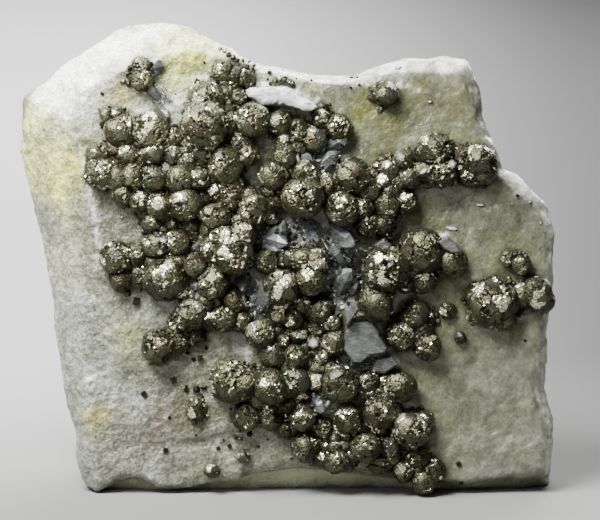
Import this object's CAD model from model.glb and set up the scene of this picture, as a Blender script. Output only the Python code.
"""Pyrite and quartz specimen: a plate of sugary white quartz with a crust of pyrite balls.

Places on the front of the plate are given in face millimetres: u to the right, v up along the
leaning face, w out of it. Every finished piece is in metres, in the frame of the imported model.
"""
import math
import random

import bmesh
import bpy
import numpy as np
from mathutils import Matrix, Vector, noise
from mathutils.bvhtree import BVHTree


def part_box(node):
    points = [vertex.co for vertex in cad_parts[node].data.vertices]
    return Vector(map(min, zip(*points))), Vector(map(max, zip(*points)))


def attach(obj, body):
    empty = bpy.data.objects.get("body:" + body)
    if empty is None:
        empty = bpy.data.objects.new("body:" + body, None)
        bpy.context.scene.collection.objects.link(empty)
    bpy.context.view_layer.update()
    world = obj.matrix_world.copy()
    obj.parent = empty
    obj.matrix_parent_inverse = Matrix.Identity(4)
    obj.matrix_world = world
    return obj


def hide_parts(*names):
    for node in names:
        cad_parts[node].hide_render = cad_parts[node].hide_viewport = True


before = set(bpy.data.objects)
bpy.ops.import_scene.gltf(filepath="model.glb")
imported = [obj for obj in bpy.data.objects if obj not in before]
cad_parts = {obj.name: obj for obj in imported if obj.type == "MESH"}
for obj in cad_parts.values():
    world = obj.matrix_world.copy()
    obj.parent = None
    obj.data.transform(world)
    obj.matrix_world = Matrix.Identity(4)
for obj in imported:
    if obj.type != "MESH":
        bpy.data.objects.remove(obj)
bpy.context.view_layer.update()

MM = 0.001

# The leaning face, as in the part's source
LEAN = math.radians(8.0)
FACE_Y = -14.0
FACE_LIFT = 0.6

# Quartz surface: its mesh size, and how far it may stand above the swells under the crust
VOXEL = 0.55
CREST = 0.5

# Pyrite balls: height of the middle above the quartz, in radii
CENTRE_HEIGHT = 0.38
GOLDEN_ANGLE = math.pi * (3.0 - math.sqrt(5.0))

# Size of the balls of a group that grow into one another, and of balls that hardly do
FULLNESS = 1.10
ALONE_FULLNESS = 1.03

# How flat the plates of a ball are, and the seams between them
FLATNESS = 0.62
SEAM_WIDTH = 0.12
SEAM_DEPTH = 0.17

# Number of points on a ball below each radius, and their shift to the outer side, where they show
BALL_DETAIL = [(1.0, 180), (1.5, 330), (2.0, 600), (2.6, 960), (3.2, 1400), (9.0, 2000)]
OUTWARD = np.array((0.0, 0.0, 0.3))

# The side of a ball where its fresh faces are commonest, in u, v, w
GLINT_SIDE = np.array((-0.35, 0.66, 0.66))

# How much brighter the pyrite is at the upper left
UPPER_LEFT_TONE = 0.24

# Pitch of the places that are tried for a ball in a gap
FILL_STEP = 0.45

# Camera: 6 pixels to the millimetre on the face, looking 10 degrees down
VIEW_WIDTH = 100.0
VIEW_CENTRE = (1.667, 38.67, 0.0)
VIEW_DOWN = math.radians(10.0)
VIEW_DISTANCE = 1000.0
SENSOR = 36.0

# Lights: name, place, target, width and height, power, colour, spread in degrees
MIDDLE = (0.0, -0.01, 0.04)
LIGHTS = [
    ("key", (-0.12, -0.12, 0.29), MIDDLE, (0.20, 0.16), 5.9, (0.955, 1.0, 0.955), 180.0),
    ("fill", (-0.40, -0.55, 0.25), MIDDLE, (0.25, 0.25), 1.4, (0.97, 0.98, 1.0), 180.0),
    ("back_top", (0.04, 0.20, 0.36), MIDDLE, (0.25, 0.12), 2.2, (1.0, 1.0, 1.0), 180.0),
    ("floor_behind", (-0.10, 0.46, 0.50), (-0.10, 0.46, 0.0), (0.5, 0.4), 3.9, (1.0, 0.99, 1.0), 80.0),
    ("fill_behind", (0.25, 0.60, 0.24), MIDDLE, (0.3, 0.25), 3.2, (1.0, 1.0, 1.0), 180.0),
]
SKY = (0.78, 0.8, 0.8, 1.0)
SKY_STRENGTH = 0.17

# Floor and backdrop, with their shades from left to right
STAGE_HALF = 2.2
FLOOR_END = 1.3
BEND = 0.5
BACKDROP_TOP = 1.8
FLOOR_IN_FRONT = [(0.155, 0.155, 0.148), (0.175, 0.175, 0.172)]
FLOOR_BEHIND = [(0.0, (0.34, 0.34, 0.34)), (0.4, (0.19, 0.19, 0.19)),
                (0.8, (0.075, 0.075, 0.075)), (1.0, (0.022, 0.022, 0.022))]

# Quartz: its colour by how cloudy it is, to the right, and at the back
QUARTZ = [(0.32, (0.122, 0.122, 0.095)), (0.5, (0.178, 0.178, 0.150)), (0.66, (0.27, 0.27, 0.245))]
QUARTZ_DIM = (0.100, 0.099, 0.070)
BACK_GREY = (0.21, 0.21, 0.185)
BACK_WHITE = (0.46, 0.46, 0.44)

# Quartz: clean areas, beside the crust, the ridge, the upper rim, hollows, pits and the undercut foot
WHITEST = (0.97, 0.97, 0.95)
CRUST_SHADE = (0.085, 0.09, 0.036)
RIDGE_WHITE = (0.80, 0.80, 0.74)
RIM_WHITE = (0.74, 0.74, 0.66)
HOLLOW_BROWN = (0.07, 0.066, 0.036)
PIT_BROWN = (0.03, 0.028, 0.018)
UNDER_OLIVE = (0.50, 0.49, 0.30)

# Pyrite, from its dark to its bright areas
PYRITE = [(0.2, (0.014, 0.013, 0.008)), (0.45, (0.055, 0.054, 0.030)),
          (0.68, (0.12, 0.118, 0.070)), (0.9, (0.33, 0.32, 0.21))]

# Raised areas of the quartz under the crust: u, v, radius, height
SWELLS = [
    (-16, 58, 13, 1.6), (-24, 55, 9, 0.8), (-3, 56, 10, 1.8), (6, 51, 9, 1.8),
    (14, 48, 7, 1.2), (-8, 44, 10, 1.6), (0, 38, 9, 1.8), (8, 40, 8, 2.2),
    (12, 31, 8, 1.8), (17, 36, 7, 1.4), (-14, 35, 8, 1.2), (-4, 30, 8, 1.5),
    (-3, 20, 9, 1.4), (6, 17, 8, 1.5), (12, 10, 8, 1.2), (17, 14, 7, 1.0),
    (24, 55, 8, 0.6), (13, 22, 5, 1.0),
]

# Quartz crystals with a six-sided column: foot u, v, w, tip u, v, w, width, thickness
PRISMS = [
    (-22.4, 67.9, -0.8, -21.6, 72.0, 1.2, 1.9, 1.5),
    (-20.9, 64.3, -0.6, -23.4, 67.6, 1.5, 1.7, 1.4),
    (-22.8, 65.6, -0.4, -20.2, 62.4, 1.3, 2.2, 1.6),
    (-17.4, 39.8, 0.2, -13.3, 42.4, 3.3, 1.5, 1.2),
    (-5.9, 30.0, 0.0, -3.1, 34.0, 3.0, 2.9, 2.2),
    (-4.6, 42.6, 0.4, -0.6, 41.6, 3.4, 2.4, 2.0),
    (-1.8, 40.4, 0.4, -1.0, 45.2, 3.0, 1.9, 1.6),
    (-5.0, 41.0, 0.3, -2.2, 44.2, 2.6, 1.8, 1.5),
    (2.2, 45.4, 0.4, 4.6, 42.0, 2.8, 1.5, 1.2),
    (7.0, 43.4, 0.4, 10.4, 41.2, 3.2, 3.0, 2.2),
    (9.2, 37.8, 0.4, 7.2, 41.4, 3.0, 2.4, 1.9),
    (8.2, 33.6, 0.4, 10.0, 37.2, 3.2, 2.9, 2.3),
    (-17.6, 34.0, 0.0, -14.8, 34.8, 2.4, 1.9, 1.6),
    (-16.9, 32.0, 0.0, -15.0, 33.2, 2.0, 2.0, 1.6),
    (5.8, 56.9, 0.2, 9.2, 59.2, 2.6, 2.6, 2.0),
    (1.0, 56.6, 0.4, 3.6, 55.0, 2.4, 2.4, 1.9),
    (5.2, 54.2, 0.2, 7.6, 56.4, 2.2, 2.8, 2.0),
    (-14.0, 51.6, 0.4, -11.6, 49.6, 3.0, 1.6, 1.3),
    (-7.4, 36.6, 0.0, -8.0, 33.6, 2.3, 2.2, 1.8),
    (4.0, 16.8, 0.0, 5.4, 13.4, 1.8, 2.2, 1.8),
    (-12.9, 71.2, -0.5, -12.2, 68.2, 1.0, 1.8, 1.4),
]

# The white flake that lies at the top: outline in u and v
FLAKE = [
    (-7.6, 66.8), (-7.0, 67.7), (-5.2, 67.0), (-3.7, 67.5), (-1.3, 67.3), (0.4, 66.7), (1.9, 65.7),
    (4.9, 64.5), (3.9, 63.5), (1.9, 63.7), (-0.2, 64.2), (-1.9, 64.7), (-3.7, 64.2), (-5.6, 65.0),
    (-7.3, 65.9),
]

# Quartz plates: outline in u and v, foot w, top w, tilt of the top along u and v
PLATES = [
    ([(9.2, 27.0), (10.6, 28.8), (13.6, 28.8), (14.9, 27.1), (15.0, 26.2), (16.3, 24.1),
      (15.8, 23.3), (13.2, 22.7), (11.7, 21.5), (10.6, 21.5), (9.0, 23.8)],
     -0.6, 3.1, 0.05, 0.03),
    ([(9.4, 27.9), (10.9, 29.6), (11.7, 30.9), (11.3, 31.9), (10.3, 31.7), (9.3, 30.4)],
     -0.4, 3.9, -0.06, 0.06),
    ([(13.6, 20.1), (14.1, 22.3), (17.1, 22.6), (18.1, 21.4), (15.8, 19.8)],
     -0.6, 2.0, 0.0, 0.06),
    ([(24.6, 41.9), (26.1, 42.7), (27.6, 41.6), (28.4, 40.1), (27.0, 39.8), (25.4, 40.6)],
     0.0, 4.7, -0.10, -0.05),
    ([(14.0, 41.3), (15.6, 42.3), (16.8, 41.3), (16.7, 39.9), (14.6, 40.3)],
     0.0, 3.3, 0.0, 0.08),
]

# Bundles of quartz needles: u, v, number, length
NEEDLES = [
    (6.0, 42.6, 16, 2.6), (7.6, 40.6, 14, 2.4), (-12.6, 50.8, 14, 2.4), (-2.6, 43.2, 16, 2.4),
    (-13.4, 41.6, 10, 2.2), (-20.8, 66.0, 14, 2.2), (3.4, 56.8, 10, 2.2), (9.4, 35.6, 14, 2.2),
    (-5.4, 32.2, 10, 2.2), (6.8, 21.6, 8, 2.0), (-21.9, 69.8, 8, 1.8), (12.6, 22.2, 8, 2.0),
]

# Small bright flakes of quartz: u, v, half width, half height, turn in degrees
FLAKES = [
    (-7.9, 34.6, 0.7, 0.65, 20), (-6.0, 32.7, 0.5, 0.5, 45), (-28.0, 45.8, 0.3, 0.3, 10),
    (-19.3, 56.3, 0.5, 0.35, 60), (-24.3, 63.1, 0.4, 0.3, 0), (-21.1, 42.0, 0.8, 0.6, 15),
    (3.9, 24.9, 1.0, 0.9, 30), (27.0, 43.9, 1.1, 0.45, -8), (31.7, 47.8, 0.8, 0.28, 0),
    (23.3, 65.0, 0.4, 0.3, 0), (26.8, 54.7, 0.8, 0.7, 70), (22.2, 53.5, 0.9, 0.4, 35),
    (5.7, 14.4, 0.25, 0.25, 0), (1.3, 55.5, 0.4, 0.75, 10), (33.0, 62.5, 0.3, 0.3, 20),
    (37.0, 48.0, 0.35, 0.15, -30), (40.0, 48.3, 0.3, 0.25, 0), (41.8, 44.8, 0.2, 0.4, 10),
    (-27.6, 47.6, 0.35, 0.3, 30), (18.0, 70.6, 0.6, 0.2, 15), (-5.0, 45.6, 0.8, 0.2, 70),
    (13.5, 38.0, 0.35, 0.3, 20), (7.9, 57.6, 0.8, 0.3, 40), (9.4, 55.4, 0.3, 0.3, 0),
]

# Front lower edge of the plate: height over the floor along u; the foot is cut back below it
FOOT_U = [-40.0, -32.0, -28.2, -26.0, -24.0, -22.0, -20.0, -16.2, -13.8, -9.0, -5.7, -1.3, 0.7, 8.0,
          16.0, 24.0, 28.0, 31.0, 34.0, 38.0, 45.0]
FOOT_V = [0.0, 0.3, 2.0, 2.6, 2.0, 0.8, 0.5, 1.3, 1.9, 2.3, 3.4, 4.0, 4.3, 3.6,
          2.6, 2.0, 1.2, 0.6, 1.0, 0.4, 0.0]
FOOT_CUT = 1.8

# Pyrite balls of the crust: u, v, radius, lift
CRUST = [
    (-30.5, 62.8, 1.2, 0.0), (-28.8, 63.0, 1.2, 0.0), (-28.1, 60.2, 2.6, 0.4),
    (-31.9, 56.4, 1.9, 0.0), (-31.6, 53.1, 2.6, 0.4), (-29.0, 52.4, 1.9, 0.3),
    (-26.9, 56.4, 1.9, 0.2), (-26.1, 52.7, 2.1, 0.6), (-23.1, 60.4, 2.9, 0.8),
    (-22.6, 56.6, 2.0, 0.6), (-22.5, 52.5, 2.2, 0.8), (-19.4, 56.1, 1.7, 0.5),
    (-17.3, 54.7, 1.7, 0.8), (-18.3, 52.4, 2.2, 1.0), (-14.1, 61.2, 3.9, 1.5),
    (-13.9, 65.4, 3.0, 0.6), (-14.2, 56.8, 1.9, 1.0), (-10.8, 54.7, 2.9, 1.6),
    (-6.3, 62.0, 2.9, 1.5), (-8.4, 65.6, 1.5, 0.4), (-10.8, 66.6, 1.4, 0.2),
    (-1.8, 61.6, 1.9, 0.8), (-7.0, 56.2, 1.8, 1.2), (-2.8, 52.7, 2.3, 1.2),
    (-0.9, 55.9, 2.1, 0.6), (-1.2, 58.8, 1.2, 0.4), (-9.8, 50.7, 2.1, 1.4),
    (-6.8, 49.4, 1.5, 1.4), (-5.8, 47.3, 2.6, 1.2), (-12.4, 46.0, 2.4, 1.2),
    (-15.0, 52.4, 1.8, 1.0), (-17.3, 48.2, 2.7, 1.2), (-21.7, 48.0, 2.3, 0.8),
    (-24.8, 48.8, 1.9, 0.3), (-27.8, 49.8, 1.8, 0.1), (-24.2, 46.5, 1.1, 0.0),
    (-23.0, 44.9, 1.7, 0.0), (-16.2, 44.6, 1.5, 0.6), (-3.2, 45.5, 1.1, 0.8),
    (-19.6, 44.6, 1.4, 0.0), (-13.4, 43.9, 1.5, 0.6), (-19.3, 59.0, 1.6, 0.0),
    (-9.9, 61.6, 2.0, 0.4), (-2.2, 48.9, 1.7, 0.2), (-13.8, 29.2, 1.8, 0.0), (-14.0, 31.9, 1.7, 0.0),
    (-11.2, 70.0, 1.8, 0.0), (-7.4, 68.9, 1.5, 0.0), (-9.2, 69.4, 1.4, 0.2),
    (-9.6, 67.9, 1.1, 0.3), (-10.9, 68.3, 1.2, 0.0), (-25.0, 58.4, 1.5, 0.0),
    (5.3, 62.2, 1.5, 0.6), (5.4, 64.0, 0.9, 0.0), (8.0, 60.7, 2.3, 0.5),
    (4.1, 58.7, 2.1, 0.6), (1.3, 60.2, 1.9, 0.0), (2.6, 53.2, 2.2, 0.6),
    (2.2, 49.3, 3.3, 1.6), (10.4, 52.7, 2.8, 0.8), (13.1, 50.5, 1.9, 0.8),
    (8.6, 47.3, 2.7, 1.4), (16.1, 48.0, 2.0, 0.6), (19.4, 48.2, 1.8, 0.4),
    (16.0, 46.3, 1.4, 0.4), (13.1, 44.7, 2.0, 0.4), (15.4, 44.6, 1.6, 0.3),
    (16.2, 43.2, 1.2, 0.0), (6.2, 51.3, 2.0, 0.0), (15.4, 51.6, 1.5, 0.0),
    (15.5, 55.1, 1.0, 0.0), (16.6, 53.6, 1.8, 0.2), (19.0, 55.3, 1.7, 0.2),
    (17.8, 51.6, 1.4, 0.2), (20.0, 52.3, 1.8, 0.3), (21.7, 56.4, 1.6, 0.2),
    (24.4, 57.0, 2.7, 0.5), (22.2, 53.6, 1.7, 0.3), (25.0, 53.3, 2.5, 0.5),
    (28.5, 56.1, 1.7, 0.2), (28.3, 53.8, 1.4, 0.0), (31.6, 55.1, 2.7, 0.3),
    (29.9, 52.6, 1.7, 0.1), (32.3, 53.1, 1.9, 0.2),
    (-29.0, 39.2, 2.5, 0.3), (-28.1, 35.2, 1.8, 0.1), (-25.6, 39.4, 1.7, 0.2),
    (-25.2, 35.7, 1.7, 0.1), (-22.1, 41.1, 2.3, 0.5), (-18.8, 41.6, 2.1, 0.5),
    (-20.8, 35.4, 3.3, 1.0), (-22.9, 38.2, 1.5, 0.5), (-15.8, 37.7, 2.1, 0.6),
    (-12.8, 34.8, 2.6, 0.8), (-9.6, 39.7, 3.3, 1.2), (-12.8, 40.7, 2.3, 1.0),
    (-7.8, 43.0, 2.3, 1.0), (-11.0, 42.4, 2.3, 1.2), (-9.3, 32.0, 2.0, 0.6),
    (-16.6, 29.6, 2.6, 0.6), (-11.0, 29.2, 2.4, 0.6), (-21.9, 24.2, 2.8, 0.3),
    (-18.4, 25.0, 1.8, 0.1), (-15.6, 25.9, 1.5, 0.0), (-18.9, 27.2, 1.5, 0.0),
    (-4.8, 26.6, 2.4, 0.7), (-3.0, 22.9, 2.1, 0.8), (0.8, 22.6, 2.0, 0.6),
    (-7.9, 28.4, 1.6, 0.0), (-3.7, 38.3, 2.0, 0.6), (-1.4, 34.3, 2.8, 1.0),
    (-1.6, 31.5, 1.5, 0.4), (-0.3, 39.0, 1.7, 0.8), (2.2, 38.7, 2.0, 0.9),
    (4.5, 38.4, 2.1, 0.9), (3.4, 35.5, 2.4, 1.2), (2.2, 31.7, 1.8, 0.5),
    (5.1, 30.6, 2.2, 0.6), (-1.8, 29.1, 1.5, 0.3), (3.9, 24.9, 1.4, 0.3),
    (7.4, 25.0, 2.1, 0.5), (1.2, 26.2, 1.7, 0.0), (4.6, 27.6, 1.7, 0.0),
    (-6.2, 38.9, 1.5, 0.0), (-18.4, 38.4, 1.6, 0.0), (-16.0, 33.0, 1.3, 0.0),
    (7.0, 28.2, 1.5, 0.0),
    (-9.9, 18.5, 3.3, 0.6), (-7.6, 18.2, 2.7, 0.5), (-3.1, 17.8, 2.8, 1.0),
    (0.8, 18.5, 2.3, 0.8), (8.4, 18.2, 2.9, 0.9), (-7.2, 12.6, 2.3, 0.2),
    (-3.1, 12.2, 1.8, 0.2), (2.2, 12.5, 2.2, 0.6), (-0.7, 10.4, 1.5, 0.0),
    (2.6, 7.4, 2.4, 0.2), (7.8, 5.2, 2.1, 0.3), (7.6, 7.4, 1.4, 0.4),
    (9.7, 12.1, 2.3, 0.8), (12.6, 7.5, 2.4, 1.0), (14.8, 13.2, 2.6, 0.8),
    (13.2, 18.3, 1.9, 0.0), (18.5, 17.6, 2.4, 0.4), (20.1, 10.4, 2.9, 0.7),
    (17.8, 10.3, 1.5, 0.5), (22.2, 11.7, 1.6, 0.4), (14.9, 4.9, 1.8, 0.4),
    (17.0, 5.8, 1.4, 0.4), (21.3, 6.0, 1.9, 0.5), (19.2, 6.9, 1.1, 0.0),
    (19.0, 3.4, 1.8, 0.3), (24.0, 3.6, 1.8, 0.3), (22.3, 1.6, 1.9, 0.3),
    (-1.0, 20.8, 1.5, 0.2), (-5.2, 15.4, 1.6, 0.0), (4.3, 18.6, 1.6, 0.0),
    (16.3, 16.0, 1.7, 0.0), (11.2, 15.7, 1.7, 0.0), (-0.4, 14.6, 1.7, 0.0),
    (5.6, 10.6, 1.9, 0.0), (5.2, 5.6, 1.4, 0.0), (17.4, 12.6, 1.4, 0.0),
    (5.6, 22.2, 1.5, 0.0), (10.6, 6.2, 1.3, 0.0), (16.0, 18.4, 1.3, 0.0),
]

# Seams of tiny balls above the crust: u, v, radius, lift
BEADS = [
    (-2.5, 68.3, 0.5, 0.1), (-1.8, 68.8, 0.55, 0.2), (-1.0, 68.8, 0.6, 0.2), (-0.2, 68.5, 0.55, 0.2),
    (0.4, 68.0, 0.5, 0.1), (-3.2, 68.0, 0.4, 0.0), (-11.6, 73.8, 0.35, 0.0), (-10.9, 73.5, 0.4, 0.0),
    (-10.2, 72.9, 0.45, 0.0), (-9.4, 72.4, 0.5, 0.0), (-8.7, 72.0, 0.4, 0.0), (-7.8, 71.9, 0.35, 0.0),
    (-6.8, 71.8, 0.3, 0.0), (-6.0, 71.1, 0.35, 0.0), (-7.2, 70.8, 0.5, 0.0),
]

# Pyrite that stands apart from the crust: u, v, radius, lift
APART = {
    "pyrite_group_middle_right": [
        (16.0, 37.1, 3.6, 1.3), (14.4, 31.6, 2.8, 0.8), (14.2, 34.4, 2.0, 0.6), (22.2, 40.3, 3.5, 0.8),
        (26.7, 38.4, 2.7, 0.4), (22.3, 35.3, 2.1, 0.3), (19.2, 34.9, 1.6, 0.0), (18.9, 38.8, 1.6, 0.0),
        (11.7, 30.0, 1.6, 0.2),
    ],
    "pyrite_group_lower_right": [
        (20.9, 29.7, 2.2, 0.4), (18.4, 26.0, 2.3, 0.4), (22.2, 27.1, 1.6, 0.2), (23.0, 24.1, 2.1, 0.3),
        (18.7, 28.4, 1.4, 0.0), (20.6, 25.6, 1.5, 0.0), (20.6, 27.7, 1.3, 0.1), (23.4, 29.0, 1.0, 0.0),
    ],
    "pyrite_pair_upper_left": [(-24.8, 71.2, 1.6, 0.2), (-24.6, 68.7, 1.9, 0.3), (-26.1, 69.0, 0.8, 0.0)],
    "pyrite_ball_upper_right": [(16.1, 66.4, 2.1, 0.2), (15.2, 66.0, 1.5, 0.0)],
    "pyrite_pair_right": [(36.5, 39.0, 1.5, 0.2), (38.5, 37.8, 1.7, 0.2)],
    "pyrite_balls_right": [
        (33.6, 31.6, 3.6, 0.4), (35.8, 28.9, 1.9, 0.4), (31.4, 32.8, 2.1, 0.3), (36.2, 32.0, 2.2, 0.3),
        (34.4, 34.0, 1.7, 0.2), (31.6, 29.8, 1.9, 0.3), (41.0, 33.2, 2.5, 0.2), (42.2, 31.9, 1.8, 0.1),
        (39.0, 32.8, 1.9, 0.0),
    ],
    "pyrite_ball_lower_left": [(-15.8, 13.7, 1.6, 0.2), (-15.2, 13.3, 1.2, 0.1)],
    "pyrite_bead_lower_left_a": [(-7.8, 6.0, 1.1, 0.0)],
    "pyrite_bead_lower_left_b": [(-12.9, 3.5, 1.2, 0.0)],
    "pyrite_bead_right_a": [(26.3, 30.2, 1.4, 0.0)],
    "pyrite_bead_right_b": [(28.4, 25.7, 1.0, 0.0)],
}

# Tiny pyrite cubes on the bare quartz: u, v, size
SPECKS = [
    (-3.4, 69.9, 0.33), (-3.7, 68.8, 0.2), (1.1, 68.9, 0.15), (3.6, 68.6, 0.2), (-1.2, 70.3, 0.15),
    (5.5, 69.9, 0.2), (10.25, 69.0, 0.25), (11.2, 69.0, 0.2), (11.5, 67.9, 0.2), (10.1, 67.4, 0.2),
    (-31.3, 66.4, 0.25), (-14.3, 71.6, 0.2), (-15.5, 68.4, 0.4), (-19.0, 66.3, 0.15),
    (-19.4, 18.6, 0.5), (-17.3, 17.0, 0.35), (-17.3, 17.6, 0.2), (-15.6, 17.1, 0.5),
    (-14.4, 17.6, 0.5), (-15.0, 22.3, 0.5), (-16.1, 22.1, 0.3), (-14.0, 24.0, 0.25),
    (-17.1, 23.1, 0.25), (-12.6, 16.3, 0.4), (-24.4, 16.3, 0.5), (-20.1, 12.4, 0.25),
    (-20.8, 7.0, 0.4), (-15.7, 9.5, 0.2), (-11.1, 8.6, 0.2), (-10.1, 7.6, 0.3), (-12.0, 7.2, 0.3),
    (-9.0, 9.0, 0.35), (-8.3, 8.9, 0.35), (-8.3, 10.1, 0.2), (-6.7, 9.6, 0.4), (-9.9, 13.8, 0.2),
    (-5.3, 7.5, 0.2), (0.3, 5.5, 0.2), (-3.7, 8.7, 0.15), (28.1, 4.7, 0.4), (28.6, 1.4, 0.3),
    (23.4, 12.8, 0.3), (34.5, 55.0, 0.25), (37.9, 49.4, 0.25), (39.2, 25.2, 0.2), (-25.6, 31.8, 0.6),
]

# Patches of small quartz crystals between the balls: u, v, radius
DRUSE = [
    (9.0, 38.0, 5.5), (5.0, 56.5, 4.5), (-2.5, 42.5, 3.5), (-5.0, 32.0, 2.6),
    (-15.5, 33.5, 2.2), (5.0, 15.2, 2.2), (12.0, 22.0, 3.0), (8.0, 43.0, 3.0),
    (7.6, 31.6, 3.0), (1.6, 43.4, 3.2),
]

# Stains on the quartz: u, v, w, radius, colour, strength
STAINS = [
    (-37.0, 58.0, -6.0, 13.0, (0.42, 0.42, 0.26), 0.9),
    (-38.0, 40.0, -6.0, 12.0, (0.31, 0.31, 0.21), 0.8),
    (-34.0, 26.0, -3.0, 10.0, (0.215, 0.215, 0.18), 0.8),
    (-17.0, 75.0, -3.0, 14.0, (0.58, 0.59, 0.17), 0.95),
    (-14.0, 72.5, -2.0, 9.0, (0.40, 0.41, 0.07), 0.95),
    (-38.0, 54.0, -5.0, 10.0, (0.56, 0.55, 0.13), 0.9),
    (-34.5, 53.0, -3.0, 5.0, (0.56, 0.54, 0.07), 0.9),
    (-41.0, 63.0, -5.0, 7.0, (0.62, 0.63, 0.20), 0.85),
    (-29.0, 59.0, 0.0, 5.0, (0.50, 0.50, 0.22), 0.7),
    (-28.6, 65.6, 0.0, 4.2, (0.52, 0.45, 0.16), 0.9),
    (-24.4, 64.6, 0.0, 3.2, (0.23, 0.21, 0.13), 0.9),
    (-19.5, 63.5, 0.0, 4.5, (0.17, 0.175, 0.15), 0.9),
    (-18.8, 69.0, -1.0, 5.5, (0.37, 0.38, 0.08), 0.85),
    (-31.6, 12.6, -1.0, 3.6, (0.36, 0.33, 0.08), 0.85),
    (-27.0, 25.5, -1.0, 5.0, (0.26, 0.255, 0.10), 0.8),
    (17.0, 62.0, 0.0, 14.0, (0.046, 0.045, 0.011), 0.95),
    (12.0, 62.5, 0.0, 5.0, (0.12, 0.125, 0.018), 0.85),
    (3.5, 68.8, 0.0, 3.0, (0.30, 0.31, 0.10), 0.8),
    (27.0, 66.0, 0.0, 8.0, (0.088, 0.086, 0.034), 0.75),
    (-18.0, 12.0, 0.0, 11.0, (0.058, 0.043, 0.031), 0.95),
    (-11.0, 4.5, 0.0, 6.5, (0.26, 0.26, 0.21), 0.8),
    (37.5, 25.5, 0.0, 6.0, (0.22, 0.212, 0.17), 0.9),
    (-27.0, 9.0, 0.0, 8.0, (0.10, 0.086, 0.066), 0.8),
    (32.0, 18.0, 0.0, 15.0, (0.112, 0.105, 0.080), 0.8),
    (22.0, 46.0, 0.0, 10.0, (0.033, 0.035, 0.013), 0.88),
    (36.0, 36.0, 0.0, 6.0, (0.06, 0.06, 0.035), 0.7),
    (26.0, 33.0, 0.0, 6.0, (0.08, 0.082, 0.042), 0.7),
    (36.0, 45.0, 0.0, 9.0, (0.076, 0.074, 0.056), 0.8),
]

# Clean white quartz: u, v, w, radius, strength
BRIGHT = [
    (-36.0, 71.0, -4.0, 8.0, 1.0),
    (-30.0, 75.0, -4.0, 7.0, 1.0),
    (-24.0, 79.0, -3.0, 5.5, 0.8),
    (-40.0, 66.0, -4.0, 6.0, 0.6),
    (-34.0, 64.0, -3.0, 7.0, 0.6),
    (-29.0, 61.5, 0.0, 3.5, 0.2),
    (-5.0, 73.5, -2.0, 6.5, 0.6),
    (4.0, 72.0, -2.0, 6.0, 0.25),
    (16.0, 73.0, -1.0, 6.0, 0.35),
    (27.0, 74.0, -1.0, 6.0, 0.4),
    (40.0, 50.5, -2.0, 4.0, 0.25),
]

# The ridge between the face and the left side: u and v
RIDGE = [(-37.5, 70.0), (-35.3, 58.7), (-34.2, 54.5), (-32.6, 46.2), (-31.8, 40.3), (-33.0, 34.0)]


def face_to_world(points):
    """Face millimetres to metres, one row a point."""
    u, v, w = np.asarray(points, float).T
    along = v + FACE_LIFT
    y = FACE_Y + along * math.sin(LEAN) - w * math.cos(LEAN)
    z = along * math.cos(LEAN) + w * math.sin(LEAN)
    return np.column_stack((u, y, z)) * MM


def world_to_face(points):
    """Metres to face millimetres, one row a point."""
    x, y, z = np.asarray(points, float).T / MM
    along = z * math.cos(LEAN) + (y - FACE_Y) * math.sin(LEAN)
    w = z * math.sin(LEAN) - (y - FACE_Y) * math.cos(LEAN)
    return np.column_stack((x, along - FACE_LIFT, w))


def face_place(u, v, w=0.0):
    return Vector(face_to_world([(u, v, w)])[0])


def smooth_step(low, high, value):
    share = np.clip((value - low) / (high - low), 0.0, 1.0)
    return share * share * (3.0 - 2.0 * share)


def unit_rows(rows):
    return rows / np.linalg.norm(rows, axis=1)[:, None]


def swell_height(u, v):
    """Height of the raised quartz under the crust, for one place or for rows of them."""
    total = np.zeros_like(np.asarray(u, float))
    for su, sv, radius, height in SWELLS:
        away = np.hypot(u - su, v - sv) / radius
        total = np.maximum(total, height * smooth_step(1.0, 0.35, away))
    return total


def read_points(mesh):
    points = np.empty(len(mesh.vertices) * 3)
    mesh.vertices.foreach_get("co", points)
    return points.reshape(-1, 3)


def read_normals(mesh):
    normals = np.empty(len(mesh.vertices) * 3)
    mesh.vertex_normals.foreach_get("vector", normals)
    return normals.reshape(-1, 3)


def write_points(mesh, points):
    mesh.vertices.foreach_set("co", np.asarray(points, np.float32).ravel())
    mesh.update()


def write_values(mesh, domain, **values):
    """Stores one attribute for each name, on the points or the faces."""
    for name, rows in values.items():
        made = mesh.attributes.new(name, "FLOAT", domain)
        made.data.foreach_set("value", np.asarray(rows, np.float32))


def place_on_face(mesh):
    """Takes a mesh that was made in face millimetres to its place in the world."""
    write_points(mesh, face_to_world(read_points(mesh)))


def mesh_from(bm, name):
    """Finished bmesh geometry as a mesh."""
    mesh = bpy.data.meshes.new(name)
    bm.to_mesh(mesh)
    bm.free()
    return mesh


def add_object(name, data):
    thing = bpy.data.objects.new(name, data)
    bpy.context.scene.collection.objects.link(thing)
    return thing


def new_piece(name, mesh, material):
    mesh.materials.clear()
    mesh.materials.append(material)
    return add_object(name, mesh)


def finish_piece(thing, slot, *nodes):
    """Hangs a finished piece on the body and names the nodes that it stands for."""
    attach(thing, "root")
    if nodes:
        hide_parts(*nodes)


def baked_mesh(thing):
    """The mesh of an object with its modifiers applied; the object goes."""
    graph = bpy.context.evaluated_depsgraph_get()
    mesh = bpy.data.meshes.new_from_object(thing.evaluated_get(graph), depsgraph=graph)
    bpy.data.objects.remove(thing)
    return mesh


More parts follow.
